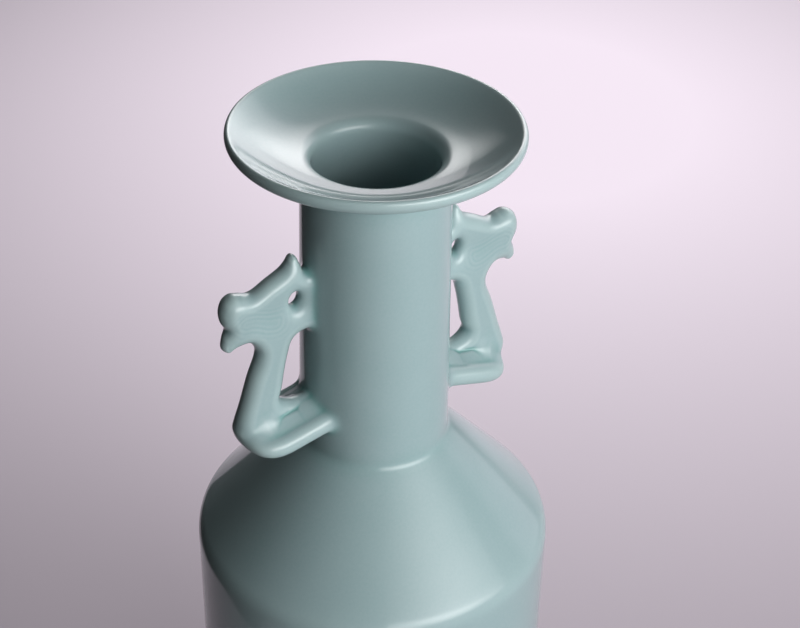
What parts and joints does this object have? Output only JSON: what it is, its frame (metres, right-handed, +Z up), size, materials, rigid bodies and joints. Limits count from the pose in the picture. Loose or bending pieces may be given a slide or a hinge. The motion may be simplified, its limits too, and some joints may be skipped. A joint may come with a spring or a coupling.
{
  "type": "vase",
  "caption": "Tall celadon-glazed stoneware vase with a cylindrical body, steep shoulder, long straight neck, flared dish mouth and crested bird handles.",
  "frame": {"origin": "centre of the foot ring, on the surface the vase stands on", "axes": "+Z up the vase's axis, the handles lie along +X and -X"},
  "size_m": [0.139, 0.139, 0.2888],
  "materials": {
    "glaze": "thick smooth celadon glaze, glossy",
    "bare_clay": "unglazed stoneware, matt"
  },
  "bodies": {
    "root": {"body": "glaze", "shoulder": "glaze", "neck": "glaze", "mouth": "glaze", "body_slip_ring": "bare_clay", "neck_slip_ring": "bare_clay", "mouth_slip_ring": "bare_clay", "left_handle_front": "glaze", "left_handle_back": "glaze", "right_handle_front": "glaze", "right_handle_back": "glaze", "left_head_pad": "glaze", "left_tail_pad": "glaze", "right_head_pad": "glaze", "right_tail_pad": "glaze"}
  },
  "joints": []
}
